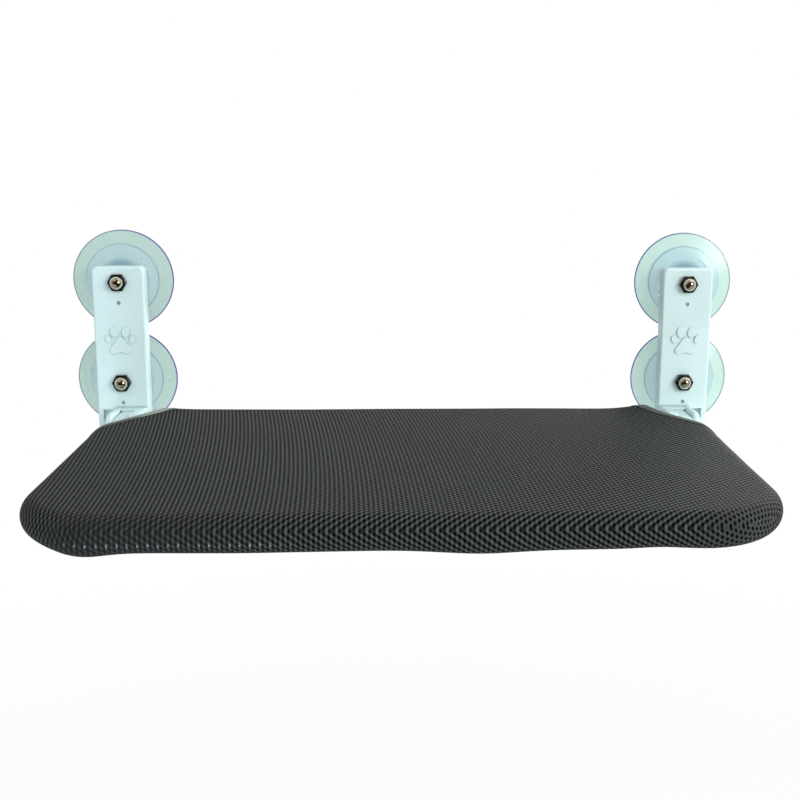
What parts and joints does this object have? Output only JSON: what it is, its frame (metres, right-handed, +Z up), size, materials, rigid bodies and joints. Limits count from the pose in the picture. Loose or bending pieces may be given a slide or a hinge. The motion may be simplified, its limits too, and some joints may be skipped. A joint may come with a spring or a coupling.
{
  "type": "window mounted cat perch",
  "caption": "Flat mesh cat bed on a tube frame that hangs from a window pane by two hinged suction brackets and folds up flat against the glass.",
  "frame": {"origin": "on the room side face of the glass, in the middle of the pattern of four suction cups", "axes": "+X along the window to the right as seen from the room, +Y out through the glass, +Z up"},
  "size_m": [0.529, 0.293, 0.1645],
  "materials": {
    "cup_vinyl": "smooth clear soft vinyl with a faint green tint and a violet glint round the rim",
    "stud_chrome": "polished, with a domed end",
    "nut_steel": "dark plated, bright on the edges",
    "nylon": "natural cream nylon",
    "bracket_plastic": "pale ice blue moulded plastic, soft sheen",
    "pin_steel": "zinc plated",
    "tube_paint": "black powder coat on steel tube",
    "mesh_fabric": "charcoal spacer mesh, ribbed, with open holes in staggered rows",
    "binding_tape": "grey green woven tape"
  },
  "bodies": {
    "root": {"suction_cup_upper_right": "cup_vinyl", "cup_stud_upper_right": "stud_chrome", "suction_cup_upper_left": "cup_vinyl", "cup_stud_upper_left": "stud_chrome", "suction_cup_lower_right": "cup_vinyl", "cup_stud_lower_right": "stud_chrome", "suction_cup_lower_left": "cup_vinyl", "cup_stud_lower_left": "stud_chrome", "lock_nuts": "nut_steel", "nylon_rings": "nylon", "bracket_right": "bracket_plastic", "hinge_pin_right": "pin_steel", "hinge_nut_right": "pin_steel", "bracket_left": "bracket_plastic", "hinge_pin_left": "pin_steel", "hinge_nut_left": "pin_steel"},
    "tray": {"hinge_arm_right": "bracket_plastic", "hinge_arm_left": "bracket_plastic", "front_tube": "tube_paint", "rear_tube": "tube_paint", "frame_screws": "pin_steel", "mesh_cover": "mesh_fabric", "corner_binding_right": "binding_tape", "corner_binding_left": "binding_tape"}
  },
  "joints": [
    {"name": "tray_fold", "type": "hinge", "parent": "root", "child": "tray", "pos_m": [0, -0.0465, -0.0687], "axis": [-1, 0, 0], "range_deg": [0, 90]}
  ]
}
